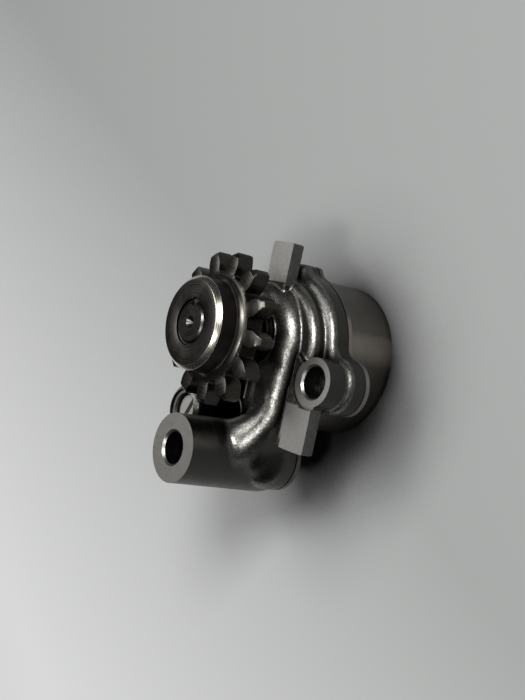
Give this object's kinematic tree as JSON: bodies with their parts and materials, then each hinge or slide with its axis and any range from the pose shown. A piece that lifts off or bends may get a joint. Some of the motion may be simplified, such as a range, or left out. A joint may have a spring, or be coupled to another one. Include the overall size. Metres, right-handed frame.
{
  "type": "engine oil pump",
  "caption": "Gear-driven trochoid engine oil pump: turned cup body, stepped die-cast cover with outlet stub and bolt bosses, relief valve, and a toothed gear on the shaft.",
  "frame": {"origin": "centre of the cup's round rear face, on the cup's axis, on the surface that the pump stands on", "axes": "+Z along the shaft and the cup towards the drive gear, +Y towards the top lug, +X towards the bolt boss that stands clear of the gear"},
  "size_m": [0.0598, 0.0667, 0.0512],
  "materials": {
    "cast_aluminium": "sand-cast",
    "turned_metal": "fine turned",
    "gasket": "matte",
    "bronze": "sintered",
    "bright_steel": "ground",
    "spring_steel": "satin",
    "shaft_steel": "ground",
    "gear_steel": "oiled",
    "sintered_steel": "satin"
  },
  "bodies": {
    "housing": {"pump_body": "turned_metal", "cover_gasket": "gasket", "pump_cover": "cast_aluminium", "front_bush": "bronze", "rear_bush": "bronze", "ring_dowels": "bright_steel", "locating_dowel": "bright_steel", "cover_screw": "bright_steel", "screw_washer": "bright_steel", "relief_spring": "spring_steel", "relief_plug": "bright_steel", "passage_ball": "bright_steel"},
    "drive": {"drive_shaft": "shaft_steel", "drive_gear": "gear_steel", "gear_key": "bright_steel", "inner_rotor": "sintered_steel", "rotor_drive_pin": "bright_steel", "thrust_washer": "bright_steel", "shaft_circlip": "spring_steel"},
    "outer_rotor": {"outer_rotor": "sintered_steel"},
    "plunger": {"relief_plunger": "bright_steel"}
  },
  "joints": [
    {"name": "drive_spin", "type": "hinge", "parent": "housing", "child": "drive", "pos_m": [0, 0.00235, 0], "axis": [0, 0, 1], "continuous": true},
    {"name": "outer_rotor_spin", "type": "hinge", "parent": "housing", "child": "outer_rotor", "pos_m": [0, 0, 0], "axis": [0, 0, 1], "continuous": true},
    {"name": "relief_lift", "type": "slide", "parent": "housing", "child": "plunger", "axis": [0, 0, 1], "range_m": [0, 0.0029], "stiffness_N_per_m": 2000, "springref_m": -0.003, "deforming": ["relief_spring"]}
  ],
  "couplings": [
    {"joint": "outer_rotor_spin", "follows": "drive_spin", "ratio": 0.8}
  ]
}
